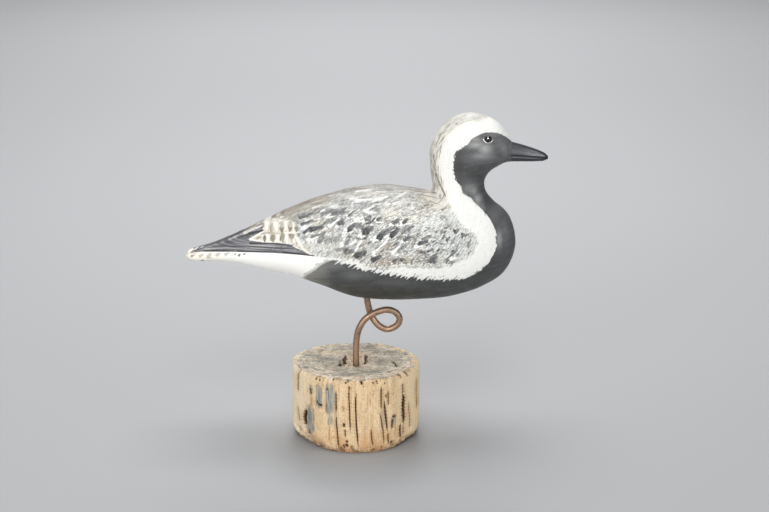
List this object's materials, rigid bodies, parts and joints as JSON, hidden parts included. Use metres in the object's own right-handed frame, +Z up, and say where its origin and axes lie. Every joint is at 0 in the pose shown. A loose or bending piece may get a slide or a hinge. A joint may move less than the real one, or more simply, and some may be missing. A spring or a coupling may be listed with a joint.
{
  "type": "shorebird decoy",
  "caption": "Carved and painted plover decoy on a looped wire leg that stands in a round block of weathered wood.",
  "frame": {"origin": "centre of the wooden block's underside, on the surface that the decoy stands on", "axes": "+Z up, +X towards the bill, +Y towards the bird's left side"},
  "size_m": [0.2873, 0.1021, 0.2652],
  "materials": {
    "plumage_paint": "hand-painted plumage in low-sheen oil paint: black face, breast and belly, white band, mottled grey and brown back",
    "bill_paint": "satin black paint",
    "eye_glass": "dark glass, polished",
    "copper_wire": "copper-coloured wire, aged brown",
    "weathered_wood": "bare, weathered, split and chipped, grey on its end grain"
  },
  "bodies": {
    "root": {"bird_body": "plumage_paint", "bill": "bill_paint", "glass_eye_left": "eye_glass", "glass_eye_right": "eye_glass", "wire_leg": "copper_wire", "wood_block": "weathered_wood"}
  },
  "joints": []
}
